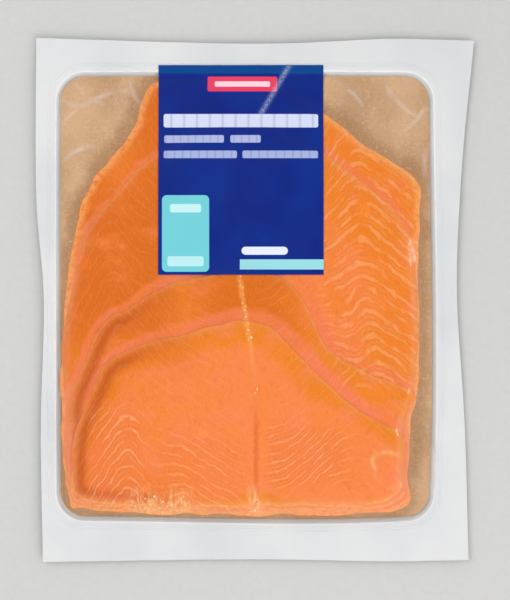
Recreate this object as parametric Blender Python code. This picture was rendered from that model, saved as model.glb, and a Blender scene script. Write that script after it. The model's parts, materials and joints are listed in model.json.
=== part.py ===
"""A flat vacuum pack of sliced smoked salmon, lying on its back with its window up.

The pack is a shallow formed base film with a wide sealed border, a backing card, four overlapping slices
that step down towards the pack's top end, a clear top film drawn down over them, and a paper label.
X runs across the pack, Y up the pack towards the label, and Z up. The origin is on the ground at the
middle of the pack's outline. All the soft pieces lie over one shared plan, a triangle net that holds every
outline as edges, so that each sheet follows the one below it at a constant gap.
"""

import math

import bmesh
import bpy
import numpy as np
from mathutils import Vector
from mathutils.geometry import delaunay_2d_cdt

MM = 0.001

# The pack's outline, and the window that the border leaves
PACK_WIDTH = 209 * MM
PACK_LENGTH = 250 * MM
WINDOW_LEFT = -95 * MM
WINDOW_RIGHT = 85.4 * MM
WINDOW_TOP = 109 * MM
WINDOW_BOTTOM = -105.6 * MM
WINDOW_RADIUS = 14 * MM
PEEL_CORNER = 11 * MM

# Heights above the ground
FILM_THICKNESS = 0.3 * MM
GAP = 0.3 * MM
BORDER_ROOT = 3.0 * MM
BORDER_DROOP = 1.3 * MM
BORDER_WAVE = 0.35 * MM
CORNER_LIFT = 0.8 * MM
CARD_THICKNESS = 0.7 * MM
CARD_BOTTOM = FILM_THICKNESS + GAP
CARD_TOP = CARD_BOTTOM + CARD_THICKNESS

# The formed wall round the tray, and the card's room in it
WALL_RUN = 1.5 * MM
CARD_CLEARANCE = 0.7 * MM

# A slice is thin at its rim and thinner at the pack's bottom end than in the middle
SLICE_THICKNESS = 2.0 * MM
SLICE_RIM = 0.8 * MM
RIM_WIDTH = 9 * MM
THIN_END_SHARE = 0.7
SLICE_SLOPE = 0.35
FILM_SLOPE = 0.7
EDGE_SLOPE = 0.35

# The label, from its left and lower edges
LABEL_LEFT = -46 * MM
LABEL_BOTTOM = 12 * MM
LABEL_WIDTH = 78.6 * MM
LABEL_HEIGHT = 100 * MM
LABEL_THICKNESS = 0.2 * MM

# The plan's net
OUTLINE_STEP = 11 * MM
NET_STEP = 12.5 * MM
NET_CLEARANCE = 0.42 * NET_STEP
WELD = 0.01 * MM

# All the slices share one bottom end, in mm from its right side round to its left, a little smaller each time.
# Each starts further down the pack than the one below it: its rim over the top end, in mm from left to right.
BOTTOM_END = [(73.5, -86), (66, -101), (0, -103), (-62, -102.2), (-83, -100.2), (-91.4, -90)]
SHRINK = 0.013
TOP_ENDS = {
    "salmon_slice_4": [
        (-91.6, -10), (-88, 26), (-80, 54), (-66, 71), (-56, 84), (-50, 104), (-20, 106), (6, 105),
        (34, 88), (76, 59), (78.5, 40), (78.3, -38), (74, -54),
    ],
    "salmon_slice_3": [
        (-91, -20), (-86, 16), (-72, 44), (-48, 70), (-12, 84), (18, 80), (52, 56), (75, 28), (77, -38),
        (72.5, -54),
    ],
    "salmon_slice_2": [
        (-86, -40), (-70, -11), (-40, 7), (-4, 16), (17, 9), (37, -24), (66, -41), (75.5, -45), (71, -56),
    ],
    "salmon_slice_1": [(-83, -54), (-70, -28), (-40, -17), (-2, -10), (20, -24), (52, -54), (71, -65.5)],
}

COLOURS = {
    "base_film": ((0.80, 0.80, 0.81), 0.45),
    "backing_card": ((0.64, 0.41, 0.23), 0.85),
    "salmon_slice": ((0.87, 0.22, 0.05), 0.35),
    "top_film": ((0.85, 0.87, 0.88), 0.08),
    "label": ((0.005, 0.02, 0.20), 0.5),
}


def clear_scene():
    for obj in list(bpy.data.objects):
        bpy.data.objects.remove(obj, do_unlink=True)


def make_material(name):
    colour, roughness = COLOURS[name]
    material = bpy.data.materials.new(name)
    material.use_nodes = True
    shader = material.node_tree.nodes["Principled BSDF"]
    shader.inputs["Base Color"].default_value = (*colour, 1)
    shader.inputs["Roughness"].default_value = roughness
    shader.inputs["Metallic"].default_value = 0
    return material


# ---------------------------------------------------------------- lines in the plan


def curve_through(points, step, closed=False):
    """Points a step apart or less along the smooth curve through the given ones."""
    last = len(points)
    spans = last if closed else last - 1
    found = []
    for i in range(spans):
        if closed:
            before, start, end, after = (Vector(points[(i + k) % last]) for k in (-1, 0, 1, 2))
        else:
            start, end = Vector(points[i]), Vector(points[i + 1])
            before = Vector(points[i - 1]) if i else start * 2 - end
            after = Vector(points[i + 2]) if i + 2 < last else end * 2 - start
        pieces = max(1, math.ceil((end - start).length / step))
        for k in range(pieces):
            t = k / pieces
            a = 2 * start
            b = (end - before) * t
            c = (2 * before - 5 * start + 4 * end - after) * t**2
            d = (3 * start - before - 3 * end + after) * t**3
            found.append((a + b + c + d) / 2)
    if not closed:
        found.append(Vector(points[-1]))
    return found


def pack_outline():
    """The pack's cut edge. The vacuum has pulled its long sides in, the right one most, and its ends less."""
    right = PACK_WIDTH / 2
    top = PACK_LENGTH / 2
    foot_right = right - 2.7 * MM
    foot_left = -right + 3.2 * MM
    sides = [
        # the left side, from the top corner down
        [(-right, top), (-right, 50 * MM), (-right + 3.7 * MM, 0), (-right + 2.2 * MM, -60 * MM),
         (foot_left, -top)],
        # the bottom end
        [(foot_left, -top), (0, -top + 1.2 * MM), (0.3 * PACK_WIDTH, -top + 0.3 * MM),
         (foot_right, -top + 1 * MM)],
        # the right side, upwards
        [(foot_right, -top + 1 * MM), (right - 4.6 * MM, -58 * MM), (right - 8.3 * MM, 4 * MM),
         (right - 6 * MM, 62 * MM), (right, top - 1.2 * MM)],
        # the top end
        [(right, top - 1.2 * MM), (0.3 * PACK_WIDTH, top - 0.4 * MM), (0, top - 2.7 * MM), (-right, top)],
    ]
    outline = []
    for side in sides:
        outline += curve_through(side, OUTLINE_STEP)[:-1]
    return centred(outline)


def centred(loop):
    """The loop moved so that the middle of its extent is at the origin."""
    points = np.array([tuple(p) for p in loop])
    middle = (points.min(axis=0) + points.max(axis=0)) / 2
    return [Vector(p) for p in points - middle]


def rounded_window(inset, step=OUTLINE_STEP):
    """The window's edge, moved inwards by inset: round at three corners and cut off at the peel corner."""
    left = WINDOW_LEFT + inset
    right = WINDOW_RIGHT - inset
    top = WINDOW_TOP - inset
    bottom = WINDOW_BOTTOM + inset
    radius = WINDOW_RADIUS - inset
    cut = PEEL_CORNER - inset * (2 - math.sqrt(2))

    def corner(x, y, start):
        turns = [math.radians(start + k * 90 / 4) for k in range(5)]
        return [(x + radius * math.cos(a), y + radius * math.sin(a)) for a in turns]

    loop = [(right, bottom + cut)]
    loop += corner(right - radius, top - radius, 0)
    loop += corner(left + radius, top - radius, 90)
    loop += corner(left + radius, bottom + radius, 180)
    loop.append((right - cut, bottom))
    return divided([Vector(p) for p in loop], step)


def divided(corners, step):
    """A closed polygon with its long sides divided, so that no side is longer than a step."""
    loop = []
    for start, end in zip(corners, corners[1:] + corners[:1]):
        pieces = max(1, math.ceil((end - start).length / step))
        loop += [start.lerp(end, k / pieces) for k in range(pieces)]
    return loop


def label_outline():
    right = LABEL_LEFT + LABEL_WIDTH
    top = LABEL_BOTTOM + LABEL_HEIGHT
    corners = [(LABEL_LEFT, LABEL_BOTTOM), (right, LABEL_BOTTOM), (right, top), (LABEL_LEFT, top)]
    return divided([Vector(p) for p in corners], OUTLINE_STEP)


def slice_rims():
    """Each slice's closed rim, the lowest slice first."""
    rims = {}
    for layer, (name, top_end) in enumerate(TOP_ENDS.items()):
        size = 1 - SHRINK * layer
        shape = top_end + [(x * size, y * size) for x, y in BOTTOM_END]
        rims[name] = curve_through([(x * MM, y * MM) for x, y in shape], OUTLINE_STEP, closed=True)
    return rims


# ---------------------------------------------------------------- measures in the plan


def inside(loop, points):
    """True for each point that lies inside the closed loop."""
    x, y = points[:, 0], points[:, 1]
    found = np.zeros(len(points), bool)
    for (ax, ay), (bx, by) in zip(loop, loop[1:] + loop[:1]):
        if ay == by:
            continue
        crosses = (ay > y) != (by > y)
        found ^= crosses & (x < (bx - ax) * (y - ay) / (by - ay) + ax)
    return found


def distance_to(loop, points):
    """Each point's distance to the closed loop."""
    nearest = np.full(len(points), np.inf)
    for start, end in zip(loop, loop[1:] + loop[:1]):
        start, run = np.array(start), np.array(end - start)
        share = ((points - start) @ run / (run @ run)).clip(0, 1)
        gap = np.linalg.norm(points - start - share[:, None] * run, axis=1)
        nearest = np.minimum(nearest, gap)
    return nearest


def tented(points, heights, slope):
    """The lowest sheet over the heights that nowhere falls more steeply than slope."""
    apart = np.linalg.norm(points[:, None] - points[None], axis=2)
    return (heights[None] - slope * apart).max(axis=1)


class Plan:
    """A triangle net in the XY plane that holds closed loops as edges."""

    def __init__(self, loops, net=()):
        corners, edges = [], []
        for loop in loops:
            first = len(corners)
            corners += loop
            edges += [(first + k, first + (k + 1) % len(loop)) for k in range(len(loop))]
        corners += net
        found, _, faces, _, _, _ = delaunay_2d_cdt(corners, edges, [], 0, WELD)
        self.points = np.array([tuple(p) for p in found])
        self.faces = np.array(faces)
        self.centres = self.points[self.faces].mean(axis=1)

    def faces_in(self, loop):
        return self.faces[inside(loop, self.centres)]

    def corners_in(self, loop):
        """True for each net point that a face inside the loop uses."""
        found = np.zeros(len(self.points), bool)
        found[self.faces_in(loop).ravel()] = True
        return found


def net_points(loops, boundary):
    """A staggered net of points inside the boundary, clear of every loop."""
    rows = np.arange(WINDOW_BOTTOM, WINDOW_TOP, NET_STEP * math.sqrt(3) / 2)
    points = []
    for k, y in enumerate(rows):
        start = WINDOW_LEFT + (k % 2) * NET_STEP / 2
        points += [(x, y) for x in np.arange(start, WINDOW_RIGHT, NET_STEP)]
    points = np.array(points)
    clear = inside(boundary, points)
    for loop in loops:
        clear &= distance_to(loop, points) > NET_CLEARANCE
    return [Vector(p) for p in points[clear]]


# ---------------------------------------------------------------- heights


def border_height(points, window):
    """The upper face of the base film's border: it droops outwards, waves a little and lifts at its corners."""
    out = (distance_to(window, points) / (17 * MM)).clip(0, 1)
    across, along = points[:, 0] / (PACK_WIDTH / 2), points[:, 1] / (PACK_LENGTH / 2)
    wave = np.sin(5.2 * along + 1.1) * np.abs(across) + np.sin(4.1 * across + 0.4) * np.abs(along)
    lift = (np.abs(across * along) ** 3) * CORNER_LIFT
    return BORDER_ROOT + out * (BORDER_WAVE * wave + lift - BORDER_DROOP)


def slice_thickness(points, rim):
    """A slice thickens smoothly from its rim, and thins towards the pack's bottom end."""
    share = (distance_to(rim, points) / RIM_WIDTH).clip(0, 1)
    full = SLICE_RIM + (SLICE_THICKNESS - SLICE_RIM) * np.sin(share * math.pi / 2)
    down = ((-20 * MM - points[:, 1]) / (80 * MM)).clip(0, 1)
    return full * (1 - (1 - THIN_END_SHARE) * down)


# ---------------------------------------------------------------- pieces


def slab(name, plan, faces, bottom, top, material):
    """A closed piece over the given faces of the plan, from one sheet of heights up to another."""
    shape = bmesh.new()
    tag = shape.verts.layers.int.new("corner")
    corners = {}
    for index in np.unique(faces):
        corners[index] = shape.verts.new((*plan.points[index], bottom[index]))
        corners[index][tag] = index
    for face in faces:
        shape.faces.new([corners[index] for index in face])
    raised = bmesh.ops.extrude_face_region(shape, geom=shape.faces[:])["geom"]
    for corner in raised:
        if isinstance(corner, bmesh.types.BMVert):
            corner.co.z = top[corner[tag]]
    bmesh.ops.recalc_face_normals(shape, faces=shape.faces[:])
    mesh = bpy.data.meshes.new(name)
    shape.to_mesh(mesh)
    shape.free()
    mesh.attributes.remove(mesh.attributes["corner"])
    mesh.materials.append(material)
    mesh.shade_smooth()
    mesh.set_sharp_from_angle(angle=math.radians(40))
    obj = bpy.data.objects.new(name, mesh)
    bpy.data.collections["salmon_pack"].objects.link(obj)
    return obj


def base_film(outline, window):
    """The white base film: its border all round, the short formed wall, and the flat tray floor."""
    floor = rounded_window(WALL_RUN)
    plan = Plan([outline, window, floor])
    on_floor = plan.corners_in(floor)
    top = np.where(on_floor, FILM_THICKNESS, border_height(plan.points, window))
    slab("base_film", plan, plan.faces_in(outline), top - FILM_THICKNESS, top, make_material("base_film"))


def backing_card():
    edge = rounded_window(WALL_RUN + CARD_CLEARANCE, 4 * OUTLINE_STEP)
    plan = Plan([edge])
    level = np.ones(len(plan.points))
    slab("backing_card", plan, plan.faces_in(edge), CARD_BOTTOM * level, CARD_TOP * level,
         make_material("backing_card"))


def salmon_slices(plan, rims):
    """The slices, the lowest first, each lying on those below. Returns the pile's height at each net point."""
    pile = np.full(len(plan.points), CARD_TOP)
    flesh = make_material("salmon_slice")
    for name, rim in rims.items():
        bottom = tented(plan.points, pile, SLICE_SLOPE) + GAP
        top = bottom + slice_thickness(plan.points, rim)
        slab(name, plan, plan.faces_in(rim), bottom, top, flesh)
        pile = np.where(plan.corners_in(rim), top, pile)
    return pile


def top_film(plan, outline, window, pile):
    """The clear film: sealed on the border, down to the card inside its edge, and up over the pile."""
    border = border_height(plan.points, window)
    edge = BORDER_ROOT - EDGE_SLOPE * distance_to(window, plan.points)
    drawn = np.maximum(tented(plan.points, pile, FILM_SLOPE), edge)
    in_window = inside(window, plan.points) & (distance_to(window, plan.points) > WELD)
    under = np.where(in_window, drawn, border) + GAP
    slab("top_film", plan, plan.faces_in(outline), under, under + FILM_THICKNESS, make_material("top_film"))
    return under + FILM_THICKNESS


def label(plan, edge, film_top):
    """The paper label, stuck to the film from the border down over the slices."""
    under = film_top + GAP
    slab("label", plan, plan.faces_in(edge), under, under + LABEL_THICKNESS, make_material("label"))


def build():
    clear_scene()
    parts = bpy.data.collections.new("salmon_pack")
    bpy.context.scene.collection.children.link(parts)
    outline = pack_outline()
    window = rounded_window(0)
    label_edge = label_outline()
    rims = slice_rims()
    loops = [outline, window, label_edge, *rims.values()]
    plan = Plan(loops, net_points(loops, window))
    base_film(outline, window)
    backing_card()
    pile = salmon_slices(plan, rims)
    film_top = top_film(plan, outline, window, pile)
    label(plan, label_edge, film_top)


build()
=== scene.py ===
"""The looks of a flat vacuum pack of sliced smoked salmon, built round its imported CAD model.

Every sheet's height is worked out on one square lattice over the pack, from the ground up: the white base
film, the card, each slice on those below it, the clear film drawn down over them, and the label. The pieces
themselves are triangle nets cut to the outlines of the CAD nodes, and read their heights from the lattice.
X runs across the pack, Y up the pack towards the label, and Z up.
"""

import json
import math

import bpy
import numpy as np
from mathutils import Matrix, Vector
from mathutils.bvhtree import BVHTree
from mathutils.geometry import delaunay_2d_cdt

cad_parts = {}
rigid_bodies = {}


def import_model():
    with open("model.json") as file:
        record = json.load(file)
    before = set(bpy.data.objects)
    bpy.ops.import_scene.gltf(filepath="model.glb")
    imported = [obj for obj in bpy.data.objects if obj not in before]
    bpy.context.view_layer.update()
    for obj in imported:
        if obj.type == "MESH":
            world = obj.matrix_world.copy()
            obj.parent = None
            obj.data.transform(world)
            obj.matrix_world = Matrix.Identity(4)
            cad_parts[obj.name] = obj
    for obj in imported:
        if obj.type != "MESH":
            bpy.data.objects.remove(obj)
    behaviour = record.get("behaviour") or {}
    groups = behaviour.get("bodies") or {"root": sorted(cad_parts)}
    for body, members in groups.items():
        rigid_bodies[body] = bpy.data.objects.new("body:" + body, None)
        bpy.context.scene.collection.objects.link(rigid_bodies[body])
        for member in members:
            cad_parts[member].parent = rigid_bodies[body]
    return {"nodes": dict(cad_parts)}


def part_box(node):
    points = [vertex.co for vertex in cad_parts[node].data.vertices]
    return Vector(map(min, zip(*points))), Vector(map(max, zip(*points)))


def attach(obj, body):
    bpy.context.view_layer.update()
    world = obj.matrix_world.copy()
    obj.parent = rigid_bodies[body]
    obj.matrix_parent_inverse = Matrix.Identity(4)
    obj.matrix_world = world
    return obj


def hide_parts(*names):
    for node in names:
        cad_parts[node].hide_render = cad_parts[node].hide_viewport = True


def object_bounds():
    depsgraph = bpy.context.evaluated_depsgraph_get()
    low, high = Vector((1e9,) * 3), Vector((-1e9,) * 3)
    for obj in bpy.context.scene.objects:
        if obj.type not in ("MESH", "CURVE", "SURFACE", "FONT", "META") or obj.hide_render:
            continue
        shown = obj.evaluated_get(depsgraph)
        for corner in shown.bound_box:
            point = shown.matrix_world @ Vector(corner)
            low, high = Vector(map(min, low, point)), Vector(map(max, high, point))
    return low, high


MM = 0.001
BODY = "root"

# The lattice, and how finely the pieces are netted
LATTICE_STEP = 0.8 * MM
LATTICE_MARGIN = 4 * MM
SLICE_NET = 1.15 * MM
CARD_NET = 2.0 * MM
BASE_NET = 2.2 * MM
LABEL_NET = 1.0 * MM
FILM_NET = 1.06 * MM
WINDOW_STEP = 1.2 * MM
CARD_STEP = 1.5 * MM
RIM_STEP = 0.9 * MM
FLAP_STEP = 1 * MM
CLEAR_OF_ROWS = 0.6
UPRIGHT = 0.3
SHARP_ANGLE = math.radians(50)

# The tray's wall, as in the CAD, its rounded profile from the border down, and the border's own creases
WALL_RUN = 1.5 * MM
CARD_CLEARANCE = 0.7 * MM
WALL_ROWS = 6
TRAY_GAP = 0.3 * MM
BORDER_BLUR = 5 * MM
BORDER_CREASE = 0.07 * MM
RIB_OFFSETS = (2.4 * MM, 3.6 * MM)
RIB_RADIUS = 0.16 * MM

# The slices, the lowest first
SLICES = ["salmon_slice_4", "salmon_slice_3", "salmon_slice_2", "salmon_slice_1"]
TOP_LAYER = len(SLICES) - 1
SLICE_FULL = 2.0 * MM
SLICE_RIM = 0.35 * MM
RIM_RISE = 2.6 * MM
RIM_RAGGED = 0.45 * MM
SLICE_ROWS = (0.35 * MM, 0.9 * MM, 1.7 * MM)
SLICE_SAG = 2.2 * MM
CONTACT = 0.05 * MM
NOTHING_OVER = 1.0

# The clear film, how closely it follows the pile, and how much it mirrors
FILM_THICKNESS = 0.1 * MM
FILM_SLOPE = 0.8
FILM_REACH = 5 * MM
FILM_BRIDGE = 1.2 * MM
FILM_SOFTNESS = 0.7 * MM
FILM_GAP = 0.12 * MM
FILM_MIRROR = 0.028
PLEAT_HEIGHT = 0.2 * MM
PLEAT_REACH = 7 * MM
SLACK_HEIGHT = 0.05 * MM

# The label, stiffer than the film, and the crease across its top
LABEL_THICKNESS = 0.14 * MM
LABEL_BRIDGE = 2.5 * MM
LABEL_CREASE = np.array([(17, 113), (3, 89)]) * MM
CREASE_HEIGHT = 0.3 * MM
CREASE_WIDTH = 0.9 * MM

# Long wrinkles in the film over the card, from the window's corners towards the fish
FILM_WRINKLES = [
    np.array(line) * MM
    for line in (
        [(-93, 84), (-57, 101)], [(-86, 104), (-71, 93)], [(-92, 66), (-76, 74)], [(-93, 96), (-80, 92)],
        [(38, 104), (52, 92)], [(62, 104), (80, 86)], [(84, 98), (70, 80)], [(82, 74), (84, 50)],
        [(81, -58), (84, -92)], [(-60, 106), (-52, 90)],
    )
]
WRINKLE_HEIGHT = 0.85 * MM
WRINKLE_WIDTH = 1.05 * MM
WRINKLE_BOW = 0.09

# The top slice's corner, folded back over itself: the fold's outline and height
FLAP = np.array([(55.5, -75), (60, -88), (70.5, -88), (72.5, -76), (64, -71.5)]) * MM
FLAP_HEIGHT = 0.6 * MM

# Beads of fat: the stretches of the seam that hold some, and the rows of crumbs at the bottom end
SEAM_STRETCHES = ((-19, 13), (-47, -38), (-102, -95))
CRUMB_ROWS = (-99.5, -96, -93)
CRUMBS_FROM, CRUMBS_TO = -58 * MM, -30 * MM
BEAD_PATH_STEP = 1 * MM

# The stage
FLOOR_HALF = 8
FLOOR_DROP = 0.05 * MM
LENS = 85
PACK_SHARE_OF_FRAME = 0.87
ROOM_DIM, ROOM_PALE = 0.13, 0.75
LAMPS = [
    # name, place, size, power, seen in gloss
    ("key", (-0.5, 0.2, 0.85), 1.0, 4.35, False),
    ("fill", (0.5, -0.65, 0.72), 1.0, 5.2, False),
    ("glint", (0.9, 0.2, 0.55), 0.2, 0.5, True),
    ("top_glint", (-0.4, 0.85, 0.55), 0.2, 0.5, True),
]


# ---------------- outlines


def top_outline(node):
    """The CAD node's outline from above, anticlockwise, as an array of points."""
    mesh = node.data
    places = np.array([v.co for v in mesh.vertices])
    merged, same = np.unique(places.round(6), axis=0, return_inverse=True)
    same = same.ravel()
    sides = set()
    for face in mesh.polygons:
        if face.normal.z > UPRIGHT:
            corners = [same[i] for i in face.vertices]
            sides.update(zip(corners, corners[1:] + corners[:1]))
    after = {a: b for a, b in sides if (b, a) not in sides}
    walk = [min(after, key=lambda corner: merged[corner][0])]
    while after[walk[-1]] != walk[0]:
        walk.append(after[walk[-1]])
    return merged[walk][:, :2]


def smooth_curve(points, step, closed=True):
    """Points about a step apart on the smooth curve through the given ones."""
    ahead, behind = np.roll(points, -1, axis=0), np.roll(points, 1, axis=0)
    if not closed:
        ahead[-1], behind[0] = points[-1], points[0]
    headings = (ahead - behind) / np.linalg.norm(ahead - behind, axis=1)[:, None]
    stretches = []
    for i in range(len(points) if closed else len(points) - 1):
        start, end = points[i], ahead[i]
        length = np.linalg.norm(end - start)
        pieces = max(1, round(length / step))
        t = (np.arange(pieces) / pieces)[:, None]
        straight = start * (1 + 2 * t) * (1 - t) ** 2 + end * t**2 * (3 - 2 * t)
        turned = headings[i] * t * (1 - t) ** 2 - headings[(i + 1) % len(points)] * t**2 * (1 - t)
        stretches.append(straight + length * turned)
    if not closed:
        stretches.append(points[-1:])
    return np.concatenate(stretches)


def shifted(loop, inwards):
    """The anticlockwise loop moved inwards, or outwards where the distance is below 0."""
    along = np.roll(loop, -1, axis=0) - np.roll(loop, 1, axis=0)
    along /= np.linalg.norm(along, axis=1)[:, None]
    return loop + np.column_stack([-along[:, 1], along[:, 0]]) * np.reshape(inwards, (-1, 1))


def depth_in(loop, points):
    """Each point's distance to the loop, above 0 inside it and below 0 outside."""
    x, y = points[:, 0], points[:, 1]
    nearest = np.full(len(points), np.inf)
    inside = np.zeros(len(points), bool)
    for (ax, ay), (bx, by) in zip(loop, np.roll(loop, -1, axis=0)):
        run_x, run_y = bx - ax, by - ay
        share = (((x - ax) * run_x + (y - ay) * run_y) / (run_x**2 + run_y**2)).clip(0, 1)
        nearest = np.minimum(nearest, (x - ax - share * run_x) ** 2 + (y - ay - share * run_y) ** 2)
        if ay != by:
            inside ^= ((ay > y) != (by > y)) & (x < run_x * (y - ay) / run_y + ax)
    return np.where(inside, 1, -1) * np.sqrt(nearest)


def sides_of(outline):
    """The outline's bottom, right, top and left sides, each from one corner to the next, anticlockwise."""
    before = outline - np.roll(outline, 1, axis=0)
    after = np.roll(outline, -1, axis=0) - outline
    turns = np.arctan2(
        before[:, 0] * after[:, 1] - before[:, 1] * after[:, 0], (before * after).sum(axis=1)
    )
    corners = sorted(np.argsort(turns)[-4:], key=lambda i: math.atan2(outline[i][1], outline[i][0]))
    sides = []
    for first, last in zip(corners, corners[1:] + corners[:1]):
        count = (last - first) % len(outline)
        sides.append(np.array([outline[(first + k) % len(outline)] for k in range(count + 1)]))
    return sides


def spaced(points, count):
    """That many points at even shares of the line's length."""
    lengths = np.concatenate([[0], np.cumsum(np.linalg.norm(np.diff(points, axis=0), axis=1))])
    places = np.linspace(0, lengths[-1], count)
    return np.column_stack([np.interp(places, lengths, points[:, k]) for k in (0, 1)])


# ---------------- the lattice


class Lattice:
    """A square lattice over the pack. A field on it is an array with one value for each of its points."""

    def __init__(self, low, high):
        self.xs = np.arange(low.x - LATTICE_MARGIN, high.x + LATTICE_MARGIN, LATTICE_STEP)
        self.ys = np.arange(low.y - LATTICE_MARGIN, high.y + LATTICE_MARGIN, LATTICE_STEP)
        self.x, self.y = np.meshgrid(self.xs, self.ys)
        self.points = np.column_stack([self.x.ravel(), self.y.ravel()])
        self.shape = self.x.shape

    def depth_in(self, loop):
        return depth_in(loop, self.points).reshape(self.shape)

    def read(self, field, points):
        """The field's value at each point, in between the lattice's own."""
        across = ((points[:, 0] - self.xs[0]) / LATTICE_STEP).clip(0, self.shape[1] - 1.001)
        along = ((points[:, 1] - self.ys[0]) / LATTICE_STEP).clip(0, self.shape[0] - 1.001)
        i, j = across.astype(int), along.astype(int)
        s, t = across - i, along - j
        low = field[j, i] * (1 - s) + field[j, i + 1] * s
        high = field[j + 1, i] * (1 - s) + field[j + 1, i + 1] * s
        return low * (1 - t) + high * t

    def blurred(self, field, across, along=None):
        """The field blurred by these distances."""
        for axis, distance in ((1, across), (0, across if along is None else along)):
            spread = distance / LATTICE_STEP
            reach = math.ceil(3 * spread)
            weights = np.exp(-((np.arange(-reach, reach + 1) / spread) ** 2) / 2)
            weights /= weights.sum()
            padding = [(reach, reach) if k == axis else (0, 0) for k in (0, 1)]
            padded = np.pad(field, padding, mode="edge")
            count = field.shape[axis]
            field = sum(
                weight * np.take(padded, range(k, k + count), axis=axis) for k, weight in enumerate(weights)
            )
        return field

    def noise(self, seed, across, along=None):
        """Smooth seeded noise of about that grain, with an average of 0 and a spread of 1."""
        rough = np.random.default_rng(seed).standard_normal(self.shape)
        smooth = self.blurred(rough, across, along)
        return (smooth - smooth.mean()) / smooth.std()

    def draped(self, field, slope, reach):
        """The lowest sheet over the field that falls no more steeply than slope, up to that reach."""
        sheet = field.copy()
        for _ in range(math.ceil(reach / LATTICE_STEP)):
            padded = np.pad(sheet, 1, mode="edge")
            for j in (0, 1, 2):
                for i in (0, 1, 2):
                    drop = slope * LATTICE_STEP * math.hypot(i - 1, j - 1)
                    near = padded[j : j + self.shape[0], i : i + self.shape[1]]
                    sheet = np.maximum(sheet, near - drop)
        return sheet


def smoothstep(value, low, high):
    share = ((value - low) / (high - low)).clip(0, 1)
    return share * share * (3 - 2 * share)


# ---------------- nets


class Net:
    """A triangle net over the area inside a loop, with extra rows of points along other lines."""

    def __init__(self, edge, spacing, rows=()):
        low, high = edge.min(axis=0), edge.max(axis=0)
        field = []
        for k, y in enumerate(np.arange(low[1], high[1], spacing * math.sqrt(3) / 2)):
            start = low[0] + (k % 2) * spacing / 2
            field += [(x, y) for x in np.arange(start, high[0], spacing)]
        field = np.array(field)
        clear = depth_in(edge, field) > CLEAR_OF_ROWS * spacing
        for row in rows:
            clear &= np.abs(depth_in(row, field)) > CLEAR_OF_ROWS * spacing
        corners = [Vector(p) for p in np.concatenate([edge, *rows, field[clear]])]
        rim = [(k, (k + 1) % len(edge)) for k in range(len(edge))]
        found, _, faces, _, _, _ = delaunay_2d_cdt(corners, rim, [], 0, 0.01 * MM)
        self.points = np.array([tuple(p) for p in found])
        faces = np.array(faces)
        self.faces = faces[depth_in(edge, self.points[faces].mean(axis=1)) > 0]


class PatchNet:
    """A net of four-sided faces that fills an outline of four sides."""

    def __init__(self, outline, spacing):
        bottom, right, top, left = (smooth_curve(side, spacing, closed=False) for side in sides_of(outline))
        across = round(np.ptp(outline[:, 0]) / spacing)
        along = round(np.ptp(outline[:, 1]) / spacing)
        bottom, top = spaced(bottom, across + 1), spaced(top[::-1], across + 1)
        right, left = spaced(right, along + 1), spaced(left[::-1], along + 1)
        u = np.linspace(0, 1, across + 1)[None, :, None]
        v = np.linspace(0, 1, along + 1)[:, None, None]
        corners = (1 - v) * ((1 - u) * bottom[0] + u * bottom[-1]) + v * ((1 - u) * top[0] + u * top[-1])
        up_down = (1 - v) * bottom[None] + v * top[None]
        left_right = (1 - u) * left[:, None] + u * right[:, None]
        places = up_down + left_right - corners
        self.points = places.reshape(-1, 2)
        row = np.arange(across)
        first = (np.arange(along)[:, None] * (across + 1) + row).ravel()
        self.faces = np.column_stack([first, first + 1, first + across + 2, first + across + 1])


def slab(name, net, bottom, top, material, values=None):
    """A closed piece over a net, from one sheet of heights up to another, with values on its points."""
    used, faces = np.unique(net.faces, return_inverse=True)
    faces = faces.reshape(net.faces.shape)
    count = len(used)
    places = np.concatenate([np.column_stack([net.points[used], level[used]]) for level in (top, bottom)])
    sides = set()
    for k in range(faces.shape[1]):
        sides.update(zip(faces[:, k].tolist(), faces[:, (k + 1) % faces.shape[1]].tolist()))
    walls = [(b, a, a + count, b + count) for a, b in sides if (b, a) not in sides]
    all_faces = faces.tolist() + (faces[:, ::-1] + count).tolist() + walls
    mesh = bpy.data.meshes.new(name)
    mesh.from_pydata(places, [], all_faces)
    mesh.polygons.foreach_set("use_smooth", [True] * len(all_faces))
    for value_name, value in (values or {}).items():
        attribute = mesh.attributes.new(value_name, "FLOAT", "POINT")
        attribute.data.foreach_set("value", np.tile(value[used], 2).astype(np.float32))
    mesh.set_sharp_from_angle(angle=SHARP_ANGLE)
    mesh.materials.append(material)
    mesh.validate()
    piece = bpy.data.objects.new(name, mesh)
    bpy.context.scene.collection.objects.link(piece)
    return piece


# ---------------- material nodes


def rgb(red, green, blue):
    """A screen colour, each part from 0 to 255, as the shader's linear one."""
    parts = [part / 255 for part in (red, green, blue)]
    linear = [p / 12.92 if p <= 0.04045 else ((p + 0.055) / 1.055) ** 2.4 for p in parts]
    return (*linear, 1)


# Where Blender's Mix node keeps its colours
MIX_FIRST, MIX_SECOND, MIX_RESULT = 6, 7, 2


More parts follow.
